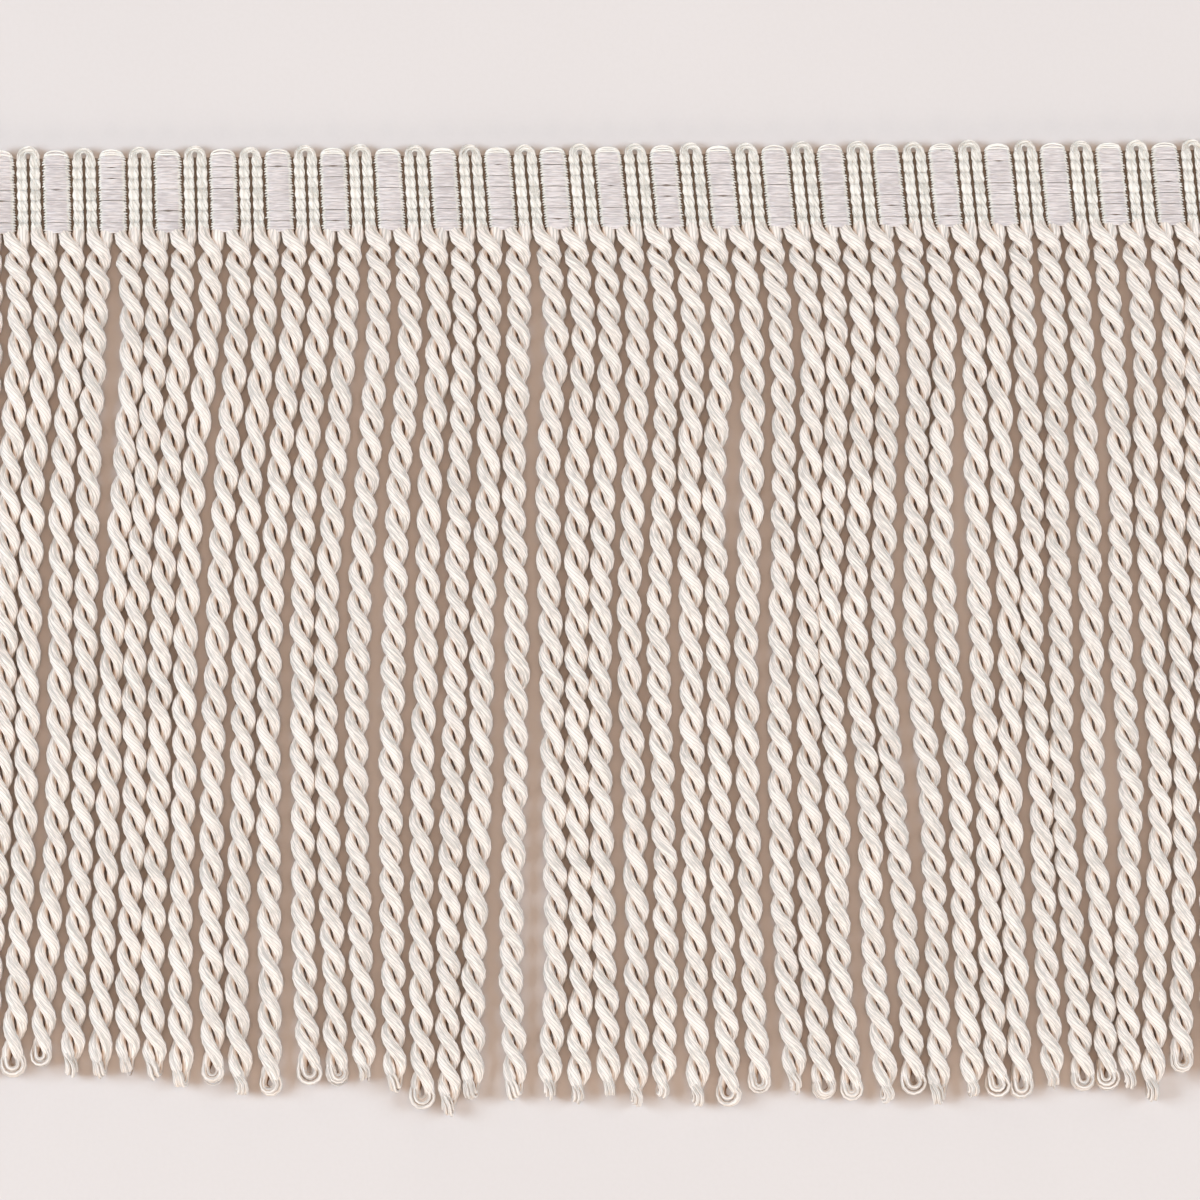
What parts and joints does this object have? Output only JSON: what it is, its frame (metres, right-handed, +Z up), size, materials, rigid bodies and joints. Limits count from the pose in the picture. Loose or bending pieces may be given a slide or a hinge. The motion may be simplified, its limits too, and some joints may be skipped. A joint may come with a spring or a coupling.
{
  "type": "bullion fringe",
  "caption": "Cut length of cream bullion fringe: a ribbed woven heading with a deep skirt of plump two-ply cords that end in loops.",
  "frame": {"origin": "centre of the footprint, on the surface that the fringe lies on", "axes": "+X along the heading, +Y from the skirt's tips to the heading, +Z up from the flat back"},
  "size_m": [0.2152, 0.156, 0.0037],
  "materials": {
    "heading": "ribbed cream viscose weave, satin floats beside gimp cords, soft sheen",
    "bullion_cord": "two-ply cream viscose cord, twisted, soft sheen"
  },
  "bodies": {
    "root": {"heading": "heading", "bullion_skirt": "bullion_cord"}
  },
  "joints": []
}
